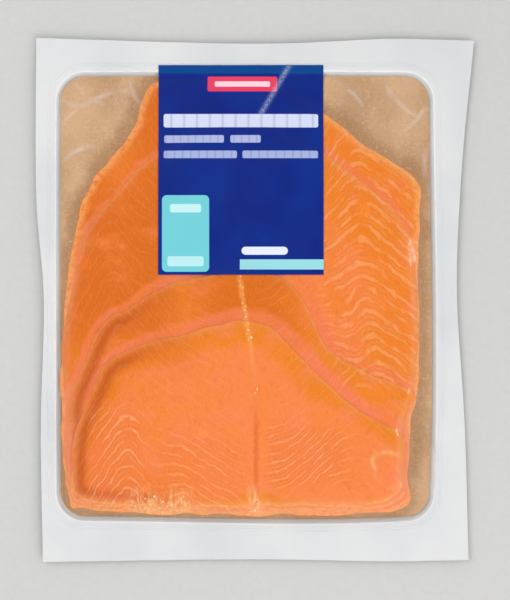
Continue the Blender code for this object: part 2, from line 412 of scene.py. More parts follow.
class Nodes:
    """A node tree with short ways to add nodes and join them. A value is a socket or a plain number."""

    def __init__(self, tree):
        self.tree = tree

    def add(self, kind, inputs=None, **settings):
        node = self.tree.nodes.new(kind)
        for name, value in settings.items():
            setattr(node, name, value)
        for name, value in (inputs or {}).items():
            self.join(value, node.inputs[name])
        return node

    def join(self, value, socket):
        if isinstance(value, bpy.types.NodeSocket):
            self.tree.links.new(value, socket)
        else:
            socket.default_value = value

    def maths(self, operation, *values):
        return self.add("ShaderNodeMath", dict(enumerate(values)), operation=operation).outputs[0]

    def times(self, first, second):
        return self.maths("MULTIPLY", first, second)

    def scaled(self, value, factor, added):
        """The value times a factor, with something added."""
        return self.maths("MULTIPLY_ADD", value, factor, added)

    def ramp(self, value, low, high):
        """0 at low, 1 at high, and smooth in between."""
        inputs = {"Value": value, "From Min": low, "From Max": high}
        return self.add("ShaderNodeMapRange", inputs, interpolation_type="SMOOTHSTEP").outputs["Result"]

    def mixed(self, share, first, second):
        node = self.add("ShaderNodeMix", data_type="RGBA")
        self.join(share, node.inputs["Factor"])
        self.join(first, node.inputs[MIX_FIRST])
        self.join(second, node.inputs[MIX_SECOND])
        return node.outputs[MIX_RESULT]

    def laid(self, tone, mask, colour, strength=1):
        """The tone with a colour laid over it where the mask is, up to that strength."""
        return self.mixed(mask if strength == 1 else self.times(mask, strength), tone, colour)

    def combined(self, x, y, z):
        return self.add("ShaderNodeCombineXYZ", {"X": x, "Y": y, "Z": z}).outputs[0]

    def place(self):
        """Object coordinates in millimetres."""
        node = self.add("ShaderNodeVectorMath", operation="SCALE")
        self.join(self.add("ShaderNodeTexCoord").outputs["Object"], node.inputs[0])
        node.inputs["Scale"].default_value = 1 / MM
        return node.outputs[0]

    def noise(self, vector, size, detail=2.0, roughness=0.5, distortion=0.0):
        """Noise with a grain of that size along each axis, or of 1 if size is None."""
        if size is not None:
            vector = self.add("ShaderNodeVectorMath", {0: vector, 1: size}, operation="DIVIDE").outputs[0]
        inputs = {"Vector": vector, "Scale": 1.0, "Detail": detail, "Roughness": roughness}
        return self.add("ShaderNodeTexNoise", inputs | {"Distortion": distortion}).outputs["Fac"]

    def value(self, name):
        return self.add("ShaderNodeAttribute", attribute_name=name).outputs["Fac"]

    def group(self, tree, inputs):
        return self.add("ShaderNodeGroup", inputs, node_tree=tree).outputs


def mottle_group():
    """Two noises that the uneven surfaces share: a broad cloud and a fine grain, sizes in millimetres."""
    if "soft_mottle" in bpy.data.node_groups:
        return bpy.data.node_groups["soft_mottle"]
    tree = bpy.data.node_groups.new("soft_mottle", "ShaderNodeTree")
    for name in ("Place", "Cloud Size", "Grain Size"):
        tree.interface.new_socket(name, in_out="INPUT", socket_type="NodeSocketVector")
    for name in ("Cloud", "Grain"):
        tree.interface.new_socket(name, in_out="OUTPUT", socket_type="NodeSocketFloat")
    nodes = Nodes(tree)
    given = nodes.add("NodeGroupInput").outputs
    result = nodes.add("NodeGroupOutput")
    for name in ("Cloud", "Grain"):
        nodes.join(nodes.noise(given["Place"], given[name + " Size"], 3), result.inputs[name])
    return tree


def mottle(nodes, cloud_size, grain_size):
    """The shared mottle's cloud and grain, for sizes along X, Y and Z."""
    inputs = {"Place": nodes.place(), "Cloud Size": cloud_size, "Grain Size": grain_size}
    outputs = nodes.group(mottle_group(), inputs)
    return outputs["Cloud"], outputs["Grain"]


def new_finish(name):
    material = bpy.data.materials.new(name)
    material.use_nodes = True
    nodes = Nodes(material.node_tree)
    return material, nodes, material.node_tree.nodes["Principled BSDF"]


def coat(nodes, shader, tone, roughness):
    """Gives the shader its colour and roughness."""
    nodes.join(tone, shader.inputs["Base Color"])
    nodes.join(roughness, shader.inputs["Roughness"])


def bump(nodes, shader, height, distance):
    node = nodes.add("ShaderNodeBump", {"Height": height, "Distance": distance})
    nodes.join(node.outputs["Normal"], shader.inputs["Normal"])


# ---------------- finishes


WHITE_COOL, WHITE_WARM = rgb(224, 227, 229), rgb(234, 234, 234)
# the second colour here is painted along the film's creases as a highlight
FILM_CREASE_SHEEN = rgb(246, 244, 240)
# the darkest card colour is a painted shadow round the fish
CARD_SHADE, CARD_LIGHT, CARD_PAINTED_SHADOW = rgb(196, 155, 115), rgb(217, 176, 136), rgb(168, 120, 78)
FIBRE_PALE, FIBRE_DARK = rgb(240, 208, 172), rgb(170, 126, 84)
CARD_FLECK, CARD_SPECK = rgb(140, 96, 60), rgb(236, 204, 168)
RIM_ORANGE, INNER_PINK, PRESSED_PINK = rgb(243, 138, 26), rgb(253, 142, 76), rgb(248, 133, 88)
CLOUD_ORANGE, PATCH_PINK, GRAIN_DARK = rgb(252, 140, 44), rgb(254, 140, 104), rgb(232, 108, 28)
# the second colour here is a painted contact shadow just inside the slices' rims
DEEP_ORANGE, RIM_SHADOW_BROWN = rgb(224, 111, 8), rgb(204, 90, 4)
GAP_BACK, GAP_BELLY = rgb(242, 122, 54), rgb(244, 130, 20)
FAT_BACK, FAT_BELLY = rgb(255, 178, 126), rgb(255, 166, 100)
THREAD_PALE, THREAD_DARK = rgb(255, 176, 122), rgb(214, 88, 24)
SEAM_CREAM, SEAM_ORANGE, SEAM_DARK = rgb(255, 178, 100), rgb(250, 138, 78), rgb(232, 96, 38)
# the last colour here is a painted highlight on the folded corner's edge
STROKE_CREAM, THIN_EDGE, FOLD_HIGHLIGHT = rgb(255, 208, 150), rgb(255, 178, 96), rgb(255, 188, 128)
BEAD_WARM, BEAD_CREAM = rgb(255, 178, 104), rgb(255, 214, 164)
FLOOR_SHADE, FLOOR_LIGHT = rgb(196, 196, 194), rgb(204, 204, 202)


def white_film_finish():
    """White sealed film: nearly even, with a faint mottle and the seal's fine orange-peel."""
    material, nodes, shader = new_finish("white_film")
    cloud, peel = mottle(nodes, (38, 52, 38), (1.3, 1.3, 1.3))
    tone = nodes.mixed(nodes.ramp(cloud, 0.3, 0.7), WHITE_COOL, WHITE_WARM)
    coat(nodes, shader, tone, nodes.scaled(cloud, 0.2, 0.3))
    bump(nodes, shader, peel, 0.03 * MM)
    return material


def card_finish():
    """Brown card: fine fibres both ways, small flecks, a soft blotch, and a painted shadow round the fish.
    """
    material, nodes, shader = new_finish("brown_card")
    place = nodes.place()
    blotch, speck = mottle(nodes, (20, 26, 30), (1.6, 1.6, 1.6))
    fibre = nodes.noise(place, (0.6, 2.6, 1), 4, 0.7, 0.8)
    cross = nodes.noise(place, (2.4, 0.6, 1), 4, 0.7, 0.8)
    fleck = nodes.noise(place, (0.9, 0.8, 1), 3, 0.7, 1.0)
    # a painted shadow on the card round the fish, its edge made uneven by the blotch
    painted_shadow = nodes.maths("ADD", nodes.value("from_fish"), nodes.scaled(blotch, 9, -4.5))
    tone = nodes.mixed(nodes.ramp(blotch, 0.3, 0.7), CARD_SHADE, CARD_LIGHT)
    tone = nodes.laid(tone, nodes.ramp(painted_shadow, 9, 1), CARD_PAINTED_SHADOW, 0.7)
    for strokes in (fibre, cross):
        tone = nodes.laid(tone, nodes.ramp(strokes, 0.52, 0.72), FIBRE_PALE, 0.3)
        tone = nodes.laid(tone, nodes.ramp(strokes, 0.46, 0.28), FIBRE_DARK, 0.21)
    tone = nodes.laid(tone, nodes.ramp(fleck, 0.62, 0.72), CARD_FLECK, 0.5)
    tone = nodes.laid(tone, nodes.ramp(speck, 0.55, 0.75), CARD_SPECK, 0.3)
    coat(nodes, shader, tone, nodes.scaled(fibre, 0.2, 0.7))
    bump(nodes, shader, fibre, 0.05 * MM)
    return material


def flesh_finish():
    """Moist salmon: an orange rim from the smoking, pink flesh inside it, pale fat lines and fine threads,
    and a painted shadow just inside the rim.
    """
    material, nodes, shader = new_finish("salmon_flesh")
    rim, over, layer, side = (nodes.value(name) for name in ("rim", "over", "layer", "side"))
    lines, streak, belly, deep = (nodes.value(name) for name in ("lines", "streak", "belly", "deep"))
    rim_shadow, cream, thin, fold = (nodes.value(name) for name in ("rim_shadow", "cream", "thin", "fold"))
    apart = nodes.combined(0, 0, nodes.times(layer, 40))
    place = nodes.add("ShaderNodeVectorMath", {0: nodes.place(), 1: apart}, operation="ADD").outputs[0]

    cloud = nodes.noise(place, (17, 22, 17), 3)
    drift = nodes.noise(place, (8, 8, 8), 2)
    coarse = nodes.noise(place, (2.2, 2.2, 2.2), 4, 0.6)
    patch = nodes.noise(place, (13, 10, 13), 2)
    grain = nodes.noise(place, (3.6, 5, 4), 3, 0.6)

    # pink inside the smoked rim, and where the slice above has pressed on it
    reach = nodes.maths("ADD", rim, nodes.scaled(cloud, 16, -8))
    pressed = nodes.ramp(nodes.scaled(drift, 5, over), 10.5, 6.5)
    tone = nodes.mixed(nodes.ramp(reach, 8, 14), RIM_ORANGE, INNER_PINK)
    tone = nodes.laid(tone, pressed, PRESSED_PINK)
    tone = nodes.laid(tone, nodes.ramp(cloud, 0.42, 0.7), CLOUD_ORANGE, 0.55)
    tone = nodes.laid(tone, nodes.ramp(grain, 0.5, 0.3), GRAIN_DARK, 0.24)
    tone = nodes.laid(tone, nodes.ramp(patch, 0.5, 0.75), PATCH_PINK, 0.4)
    uneven = nodes.times(nodes.times(deep, nodes.ramp(patch, 0.95, 0.5)), nodes.scaled(pressed, -0.7, 1))
    tone = nodes.laid(tone, uneven, DEEP_ORANGE)
    # a painted contact shadow just inside the rim, on the left flank of the upper two slices
    tone = nodes.laid(tone, rim_shadow, RIM_SHADOW_BROWN)

    # fat lines: each wanders, swells and breaks off, with a finer one in between
    phase = nodes.maths("ADD", lines, nodes.scaled(coarse, 0.3, nodes.times(drift, 1.1)))
    along = nodes.combined(nodes.times(phase, 0.9), nodes.maths("DIVIDE", side, 8), layer)
    broken = nodes.ramp(nodes.scaled(belly, -0.05, nodes.noise(along, None, 3, 0.6)), 0.34, 0.56)
    swell = nodes.scaled(coarse, 0.16, nodes.times(belly, 0.11))
    masks = []
    for count, strength in ((1, 1.0), (2, 0.35)):
        wave = nodes.maths("FRACT", nodes.times(phase, count))
        gap = nodes.maths("ADD", nodes.maths("ABSOLUTE", nodes.maths("SUBTRACT", wave, 0.5)), swell)
        masks.append(nodes.times(nodes.ramp(gap, 0.40, 0.56), strength))
    line = nodes.times(nodes.maths("MAXIMUM", *masks), broken)
    fat = nodes.times(line, streak)
    hollow = nodes.times(nodes.maths("SUBTRACT", 1, line), streak)
    tone = nodes.laid(tone, hollow, nodes.mixed(belly, GAP_BACK, GAP_BELLY), 0.55)
    tone = nodes.laid(tone, fat, nodes.mixed(belly, FAT_BACK, FAT_BELLY), 0.85)

    # short fibres run from line to line
    across = nodes.combined(nodes.times(lines, 1.6), nodes.times(side, 2.2), layer)
    thread = nodes.noise(across, None, 3, 0.65, 0.4)
    tone = nodes.laid(tone, nodes.ramp(thread, 0.48, 0.7), THREAD_PALE, 0.16)
    tone = nodes.laid(tone, nodes.ramp(thread, 0.46, 0.3), THREAD_DARK, 0.14)

    # the seam down the middle: a pale line of fat, then a dark one near the bottom end
    seam = nodes.maths("SUBTRACT", nodes.maths("ABSOLUTE", side), nodes.scaled(coarse, 2.6, -0.7))
    up = nodes.add("ShaderNodeSeparateXYZ", {"Vector": nodes.place()}).outputs["Y"]
    seam_tone = nodes.mixed(nodes.ramp(up, -14, -44), SEAM_CREAM, SEAM_ORANGE)
    seam_tone = nodes.laid(seam_tone, nodes.ramp(up, -46, -64), SEAM_DARK)
    tone = nodes.laid(tone, nodes.ramp(seam, 1.2, -0.2), seam_tone, 0.5)

    # cream-coloured strokes of fat at the bottom end
    stroke = nodes.ramp(nodes.noise(place, (1.6, 8, 3), 3, 0.6, 0.8), 0.4, 0.66)
    tone = nodes.laid(tone, nodes.times(cream, stroke), STROKE_CREAM, 0.75)

    # thin edges let the light through, and the folded corner's edge gets a painted highlight
    tone = nodes.laid(tone, nodes.times(thin, nodes.ramp(coarse, 0.25, 0.6)), THIN_EDGE, 0.7)
    tone = nodes.laid(tone, nodes.times(fold, nodes.ramp(drift, 0.3, 0.6)), FOLD_HIGHLIGHT)

    coat(nodes, shader, tone, nodes.scaled(coarse, 0.3, 0.3))
    shader.inputs["Specular IOR Level"].default_value = 0.2
    shader.inputs["Subsurface Weight"].default_value = 0.15
    shader.inputs["Subsurface Radius"].default_value = (1.0, 0.4, 0.2)
    shader.inputs["Subsurface Scale"].default_value = 1.5 * MM
    relief = nodes.maths("ADD", nodes.scaled(fat, 0.6, coarse), nodes.times(thread, 0.3))
    bump(nodes, shader, relief, 0.25 * MM)
    return material


def fat_finish():
    """Cream-coloured fat, a little uneven."""
    material, nodes, shader = new_finish("cream_fat")
    broad, tint = mottle(nodes, (9, 9, 9), (1.4, 1.4, 1.4))
    warmth = nodes.scaled(broad, 0.5, nodes.times(tint, 0.5))
    tone = nodes.mixed(nodes.ramp(warmth, 0.38, 0.62), BEAD_WARM, BEAD_CREAM)
    coat(nodes, shader, tone, nodes.scaled(tint, 0.3, 0.25))
    shader.inputs["Subsurface Weight"].default_value = 0.2
    shader.inputs["Subsurface Scale"].default_value = 1 * MM
    return material


def clear_film_finish():
    """Clear film: it lets all light through but what its face mirrors, and has a painted whitish highlight
    along its creases.
    """
    material, nodes, shader = new_finish("clear_film")
    tree = nodes.tree
    tree.nodes.remove(shader)
    place = nodes.place()
    ripple = nodes.noise(place, (4.5, 6, 5), 3, 0.55)
    normal = nodes.add("ShaderNodeBump", {"Height": ripple, "Distance": 0.12 * MM}).outputs["Normal"]
    gloss = nodes.add("ShaderNodeBsdfGlossy", {"Color": (1, 1, 1, 1), "Roughness": 0.1, "Normal": normal})
    clear = nodes.add("ShaderNodeBsdfTransparent", {"Color": (0.985, 0.985, 0.985, 1)})
    facing = nodes.add("ShaderNodeLayerWeight", {"Blend": 0.5, "Normal": normal}).outputs["Facing"]
    mirrored = nodes.scaled(nodes.maths("POWER", facing, 5), 0.55, FILM_MIRROR)
    film = nodes.add("ShaderNodeMixShader", {"Fac": mirrored, 1: clear.outputs[0], 2: gloss.outputs[0]})
    # a painted whitish highlight along the film's creases, faded in places
    fading = nodes.ramp(nodes.noise(place, (9, 9, 9), 2), 0.3, 0.62)
    crease_highlight = nodes.times(nodes.times(nodes.value("crease"), fading), 0.15)
    painted_sheen = nodes.add("ShaderNodeBsdfDiffuse", {"Color": FILM_CREASE_SHEEN})
    creased = nodes.add("ShaderNodeMixShader", {"Fac": crease_highlight, 1: film.outputs[0], 2: painted_sheen.outputs[0]})
    output = next(node for node in tree.nodes if node.type == "OUTPUT_MATERIAL")
    nodes.join(creased.outputs[0], output.inputs["Surface"])
    return material


BLOCK_INPUTS = (
    "Across", "Up", "Middle Across", "Middle Up", "Half Width", "Half Height", "Corner", "Notch Pitch"
)


def block_group():
    """A mask of 1 inside an upright block with rounded corners, whole or with faint notches across it."""
    tree = bpy.data.node_groups.new("print_block", "ShaderNodeTree")
    for name in BLOCK_INPUTS:
        tree.interface.new_socket(name, in_out="INPUT", socket_type="NodeSocketFloat")
    tree.interface.new_socket("Mask", in_out="OUTPUT", socket_type="NodeSocketFloat")
    nodes = Nodes(tree)
    given = nodes.add("NodeGroupInput").outputs
    gaps = []
    for place, half in (("Across", "Half Width"), ("Up", "Half Height")):
        away = nodes.maths("ABSOLUTE", nodes.maths("SUBTRACT", given[place], given["Middle " + place]))
        straight = nodes.maths("SUBTRACT", given[half], given["Corner"])
        gaps.append(nodes.maths("MAXIMUM", nodes.maths("SUBTRACT", away, straight), 0))
    squares = nodes.maths("ADD", nodes.maths("POWER", gaps[0], 2), nodes.maths("POWER", gaps[1], 2))
    past = nodes.maths("SUBTRACT", nodes.maths("SQRT", squares), given["Corner"])
    block = nodes.ramp(past, 0.12, -0.12)
    count = nodes.maths("FRACT", nodes.maths("DIVIDE", given["Across"], given["Notch Pitch"]))
    between = nodes.ramp(nodes.maths("ABSOLUTE", nodes.maths("SUBTRACT", count, 0.5)), 0.34, 0.48)
    notched = nodes.times(between, nodes.maths("GREATER_THAN", given["Notch Pitch"], 0.01))
    mask = nodes.times(block, nodes.scaled(notched, -0.22, 1))
    nodes.join(mask, nodes.add("NodeGroupOutput").inputs["Mask"])
    return tree


# the pale last colour here is a painted highlight along the label's crease
NAVY_SHADE, NAVY_LIGHT, CREASE_HIGHLIGHT = rgb(10, 34, 122), rgb(8, 42, 132), rgb(188, 202, 226)
PRINT = [
    # middle across, middle up, half width, half height, corner, notch pitch, colour
    (39.0, 98.6, 41.0, 2.6, 0.1, 0, rgb(2, 66, 136)),
    (40.0, 91.0, 16.6, 3.6, 0.8, 0, rgb(226, 62, 96)),
    (40.0, 91.0, 13.2, 1.3, 0.7, 0, rgb(250, 206, 216)),
    (39.3, 73.4, 36.8, 3.2, 1.0, 6.13, rgb(206, 212, 236)),
    (17.0, 64.6, 14.2, 1.8, 0.8, 3.55, rgb(168, 178, 218)),
    (41.5, 64.6, 7.2, 1.8, 0.8, 3.6, rgb(168, 178, 218)),
    (20.0, 57.2, 17.4, 1.8, 0.8, 3.87, rgb(160, 172, 214)),
    (58.0, 57.2, 18.0, 1.8, 0.8, 4.0, rgb(160, 172, 214)),
    (13.0, 19.6, 11.2, 18.2, 2.2, 0, rgb(112, 200, 208)),
    (13.0, 31.6, 7.4, 2.0, 1.0, 0, rgb(190, 232, 234)),
    (13.0, 6.4, 8.6, 2.4, 1.0, 0, rgb(182, 228, 232)),
    (59.2, 4.9, 20.4, 2.4, 0.1, 0, rgb(150, 215, 221)),
    (50.6, 11.4, 11.0, 1.9, 1.9, 0, rgb(222, 228, 240)),
]


def label_finish():
    """Printed paper: a navy field with plain blocks of colour, and a pale painted highlight along its
    crease.
    """
    material, nodes, shader = new_finish("printed_paper")
    across, up, crease = nodes.value("across"), nodes.value("up"), nodes.value("crease")
    cloud, weave = mottle(nodes, (20, 20, 20), (0.6, 0.6, 0.6))
    tone = nodes.mixed(nodes.ramp(cloud, 0.3, 0.7), NAVY_SHADE, NAVY_LIGHT)
    block = block_group()
    for *sizes, colour in PRINT:
        inputs = dict(zip(BLOCK_INPUTS, (across, up, *sizes)))
        tone = nodes.laid(tone, nodes.group(block, inputs)["Mask"], colour)
    # a painted highlight along the label's crease
    tone = nodes.laid(tone, nodes.times(crease, nodes.ramp(weave, 0.3, 0.6)), CREASE_HIGHLIGHT, 0.55)
    coat(nodes, shader, tone, nodes.scaled(cloud, 0.15, 0.36))
    shader.inputs["Specular IOR Level"].default_value = 0.2
    bump(nodes, shader, weave, 0.012 * MM)
    return material


def floor_finish():
    """Pale matt floor with a very faint speckle."""
    material, nodes, shader = new_finish("pale_floor")
    _, speckle = mottle(nodes, (90, 90, 90), (3, 3, 3))
    coat(nodes, shader, nodes.mixed(speckle, FLOOR_SHADE, FLOOR_LIGHT), 0.9)
    return material


# ---------------- heights


def cast_heights(lattice, node):
    """The CAD node's upper face at each lattice point, and where it has one."""
    mesh = node.data
    tree = BVHTree.FromPolygons([v.co for v in mesh.vertices], [p.vertices for p in mesh.polygons])
    down = Vector((0, 0, -1))
    heights = np.zeros(len(lattice.points))
    found = np.zeros(len(lattice.points), bool)
    for k, (x, y) in enumerate(lattice.points):
        hit = tree.ray_cast(Vector((x, y, 1)), down)[0]
        if hit:
            heights[k], found[k] = hit.z, True
    return heights.reshape(lattice.shape), found.reshape(lattice.shape)


def border_heights(lattice, node, in_window):
    """The border's upper face, smoothed, and carried on past its edges."""
    heights, found = cast_heights(lattice, node)
    weight = (found & (in_window < 0)).astype(float)
    total = lattice.blurred(heights * weight, BORDER_BLUR)
    share = lattice.blurred(weight, BORDER_BLUR)
    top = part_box(node.name)[1].z
    smooth = np.where(share > 1e-6, total / np.maximum(share, 1e-6), top)
    crease = lattice.noise(11, 9 * MM, 3 * MM) + lattice.noise(12, 3 * MM, 9 * MM)
    return smooth + BORDER_CREASE * crease


def midline(y):
    """Where the seam down the middle of the slices lies, at each place up the pack."""
    return 0.5 * MM - 9 * MM * smoothstep(y, -50 * MM, 30 * MM)


def soft_rise(value, width):
    """0 below 0, the value itself above it, and rounded over about that width in between."""
    return width * np.logaddexp(0, value / width)


def ridge(points, line, width, bow=0.0, faded=False):
    """1 along a line between two points, falling off smoothly to its sides. A bow bends it sideways, and a
    faded one thins out towards its ends."""
    start, end = line
    run = end - start
    share = ((points - start) @ run / (run @ run)).clip(0, 1)
    arch = np.sin(np.pi * share)
    middle = start + share[:, None] * run + bow * arch[:, None] * np.array([-run[1], run[0]])
    height = np.exp(-((np.linalg.norm(points - middle, axis=1) / width) ** 2))
    return height * np.sqrt(arch.clip(0, 1)) if faded else height


def film_creases(points, width):
    """How much each point lies on the film's long wrinkles, which bend one way and the other in turn."""
    bows = [WRINKLE_BOW * (-1) ** k for k in range(len(FILM_WRINKLES))]
    ridges = [ridge(points, line, width, bow, faded=True) for line, bow in zip(FILM_WRINKLES, bows)]
    return np.maximum.reduce(ridges)


def flap_depth(lattice, layer):
    """The distance inside the folded corner's outline, on the top slice only."""
    if layer < TOP_LAYER:
        return np.full(lattice.shape, -np.inf)
    return lattice.depth_in(smooth_curve(FLAP, FLAP_STEP)) + 0.35 * MM * lattice.noise(80, 1.6 * MM)


def fold_highlight_line(lattice, layer):
    """The folded corner's painted highlight along its edge: strong on its upper left, and faint at the
    right.
    """
    line = np.exp(-(((flap_depth(lattice, layer) / MM - 0.9) / 0.9) ** 2))
    towards = ((lattice.y - FLAP[:, 1].mean()) - (lattice.x - FLAP[:, 0].mean())) / MM
    return line * np.maximum(0.8 * smoothstep(towards, -2, 9), 0.5 * smoothstep(-towards, 7, 12))


def fat_lines(side, y, layer):
    """The count of fat lines up to each place. They rise from the seam to a crest on each flank."""
    away = np.abs(side)
    crest = 50 if layer > 1 else 58
    right = soft_rise(away - 14, 4) - 1.8 * soft_rise(away - crest, 2)
    left = 0.62 * away + 0.8 * soft_rise(away - 50, 2) - 2.9 * soft_rise(away - 61, 2)
    rise = np.where(side > 0, right, left)
    middle = -75 if layer > 1 else 10
    return (y - middle - rise) / (4.3 + 1.6 * smoothstep(away, 32, 52))


def slice_values(lattice, depth, over, layer):
    """The named values that colour one slice, on the lattice, with lengths in millimetres. Over is how far
    outside the next slice's rim each place lies."""
    y = lattice.y / MM + 3 * lattice.noise(20 + layer, 14 * MM)
    side = (lattice.x - midline(lattice.y)) / MM
    belly = 0.8 * smoothstep(side, 33, 44) * smoothstep(y, -46, -36)
    low_left = 0.85 * smoothstep(side, -82, -76) * smoothstep(-side, 50, 58) * smoothstep(-y, 44, 60)
    low_middle = 0.6 * smoothstep(side, -52, -38) * smoothstep(-side, 3, 12) * smoothstep(-y, 56, 72)
    low_right = 0.75 * smoothstep(side, 2, 9) * smoothstep(-side, -48, -38) * smoothstep(-y, 54, 64)
    low_right = low_right * smoothstep(y, -90, -82)
    everywhere = 0.14 * smoothstep(np.abs(side), 3, 12)
    upper_left = smoothstep(-side, 18, 42) * smoothstep(y, -44, -8)
    pale_patch = np.exp(-(((side + 57) / 13) ** 2) - ((y - 66) / 15) ** 2)
    upper_left = upper_left * (1 - 0.6 * pale_patch)
    between_rims = 0.9 * (layer == TOP_LAYER - 1) * smoothstep(-np.abs(side), -38, -12)
    left_rim = np.exp(-depth.clip(0) / (10 * MM)) * smoothstep(-side, 20, 50)
    # the lower slices' orange rim from the smoking is wide. Each narrows at the bottom end, and the top one
    # at the right
    rim_share = 1 if layer == TOP_LAYER else 0.5
    narrower = 7 * smoothstep(-y, 60, 85) + 4 * (layer == TOP_LAYER) * smoothstep(side, 8, 36)
    # painted contact shadow: a dark line just inside the rim on the left flank, upper two slices only
    rim_shadow = np.exp(-(((depth / MM - 4.5) / 2.6) ** 2)) * smoothstep(-side, 36, 66) * (layer > 1)
    ends = lattice.y + 1.6 * MM * lattice.noise(90 + layer, 3 * MM)
    edge_width = 4.5 * MM if layer == 0 else 2 * MM
    at_step = smoothstep(ends, -90 * MM, -80 * MM) * (layer > 0)
    cream = smoothstep(-ends, 84 * MM, 97 * MM) * (
        smoothstep(side, -64, -56) * smoothstep(-side, 28, 34) + np.exp(-((side / 4) ** 2))
    )
    return {
        "rim": depth / MM * rim_share + narrower,
        "over": over / MM * (1 + 0.7 * smoothstep(-side, 30, 60)) + 3 * (layer == 0),
        "layer": np.full(lattice.shape, float(layer)),
        "lines": fat_lines(side, lattice.y / MM, layer),
        "streak": np.maximum.reduce([low_left, low_middle, low_right, everywhere, belly]),
        "belly": belly,
        "deep": np.maximum.reduce([upper_left, between_rims, 0.8 * left_rim]),
        "rim_shadow": rim_shadow,
        "cream": cream,
        "side": side,
        "thin": smoothstep(edge_width - depth, 0, 0.8 * edge_width) * (1 - 0.7 * at_step),
        # painted highlight along the folded corner's edge
        "fold": fold_highlight_line(lattice, layer),
    }


def risen(depth):
    """The share of its full thickness that a slice has this far inside its rim."""
    return 1 - np.exp(-depth.clip(0) / RIM_RISE)


def slice_thickness(lattice, depth, layer):
    """A slice's thickness, from its thin rim to its soft uneven middle."""
    uneven = 0.08 * lattice.noise(40 + layer, 13 * MM) + 0.025 * lattice.noise(50 + layer, 3.5 * MM)
    thinner = 1 - 0.3 * smoothstep(-lattice.y, 20 * MM, 100 * MM)
    full = (SLICE_FULL - SLICE_RIM) * thinner * (0.88 + uneven)
    flap = FLAP_HEIGHT * smoothstep(flap_depth(lattice, layer), -0.3 * MM, 1.8 * MM)
    return SLICE_RIM + risen(depth) * (full + flap)


def ragged(loop, seed):
    """The rim with the small unevenness of a cut edge."""
    noise = np.random.default_rng(seed).standard_normal(len(loop))
    waves = np.zeros(len(loop))
    for spread, share in ((3, 0.5), (9, 1.0)):
        weights = np.exp(-((np.arange(-3 * spread, 3 * spread + 1) / spread) ** 2) / 2)
        padded = np.concatenate([noise[-3 * spread :], noise, noise[: 3 * spread]])
        smooth = np.convolve(padded, weights, "valid")
        waves += share * smooth / smooth.std()
    return shifted(loop, RIM_RAGGED * (waves + 1.2))


# ---------------- pieces


def finished(piece, slot_name, *nodes):
    """Attaches the piece to the body it rides on, and hides the CAD nodes it stands for. The slot name is
    not used.
    """
    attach(piece, BODY)
    if nodes:
        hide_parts(*nodes)


def make_base(lattice, outline, window, border):
    """The white film: border, formed wall and floor."""
    floor_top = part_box("backing_card")[0].z - TRAY_GAP
    rows = [shifted(window, WALL_RUN * k / WALL_ROWS) for k in range(WALL_ROWS + 1)]
    edge = np.concatenate([smooth_curve(side, BASE_NET, closed=False)[:-1] for side in sides_of(outline)])
    net = Net(edge, BASE_NET, rows)
    share = smoothstep(depth_in(window, net.points), 0, WALL_RUN)
    top = lattice.read(border, net.points) * (1 - share) + floor_top * share
    material = white_film_finish()
    finished(slab("base_film_sheet", net, top - floor_top, top, material), "base_film", "base_film")
    make_seal_ribs(lattice, window, border, material)


def make_card(loop, lowest_rim):
    """The brown card, with each point's distance from the fish for the painted shadow round it."""
    low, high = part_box("backing_card")
    net = Net(smooth_curve(loop, CARD_STEP), CARD_NET)
    level = np.ones(len(net.points))
    values = {"from_fish": -depth_in(lowest_rim, net.points) / MM}
    piece = slab("card_sheet", net, low.z * level, high.z * level, card_finish(), values)
    finished(piece, "backing_card", "backing_card")


def make_slices(lattice, rims):
    """The slices, the lowest first, and the height of the pile over the whole lattice."""
    pile = np.full(lattice.shape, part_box("backing_card")[1].z)
    material = flesh_finish()
    depths = [lattice.depth_in(rim) for rim in rims]
    away = [-depth for depth in depths[1:]] + [np.full(lattice.shape, NOTHING_OVER)]
    for layer, (name, rim) in enumerate(zip(SLICES, rims)):
        depth = depths[layer]
        under = np.maximum(pile, lattice.blurred(pile, SLICE_SAG)) + CONTACT
        thick = slice_thickness(lattice, depth, layer)
        net = Net(rim, SLICE_NET, [shifted(rim, row) for row in SLICE_ROWS])
        bottom = lattice.read(under, net.points)
        share = lattice.read(risen(depth), net.points).clip(0.05)
        even = (lattice.read(thick - SLICE_RIM, net.points) / share).clip(0, SLICE_FULL)
        top = bottom + SLICE_RIM + even * risen(depth_in(rim, net.points))
        fields = slice_values(lattice, depth, away[layer], layer)
        values = {key: lattice.read(field, net.points) for key, field in fields.items()}
        piece = slab(name + "_flesh", net, bottom, top, material, values)
        finished(piece, "salmon", name)
        pile = np.where(depth > 0, under + thick, pile)
    return pile


def film_heights(lattice, pile, border, in_window):
    """The clear film's underside: on the border, down at the card's edge, and close over the pile."""
    spanned = lattice.draped(pile, FILM_SLOPE, FILM_REACH)
    close = np.maximum(pile, lattice.blurred(spanned, FILM_BRIDGE))
    wall = border - FILM_SLOPE * in_window.clip(0)
    sheet = np.where(in_window > 0, np.maximum(close, wall), border)
    # pleats run in from the window's edge, across the step down to the card
    near = np.exp(-((in_window / PLEAT_REACH) ** 2)) * (in_window > -9 * MM)
    at_end = smoothstep(np.abs(lattice.y), 92 * MM, 100 * MM)
    at_side = smoothstep(np.abs(lattice.x), 72 * MM, 80 * MM)
    across = np.abs(lattice.noise(60, 1.1 * MM, 9 * MM)) * at_end * (1 - at_side)
    along = np.abs(lattice.noise(61, 9 * MM, 1.1 * MM)) * at_side * (1 - at_end)
    pleats = PLEAT_HEIGHT * near * smoothstep(across + along, 1.1, 2.6)
    wrinkles = WRINKLE_HEIGHT * film_creases(lattice.points, WRINKLE_WIDTH).reshape(lattice.shape)
    slack = SLACK_HEIGHT * lattice.noise(62, 3 * MM) * smoothstep(in_window, 0, 3 * MM)
    return lattice.blurred(sheet + pleats, FILM_SOFTNESS) + wrinkles + slack + FILM_GAP


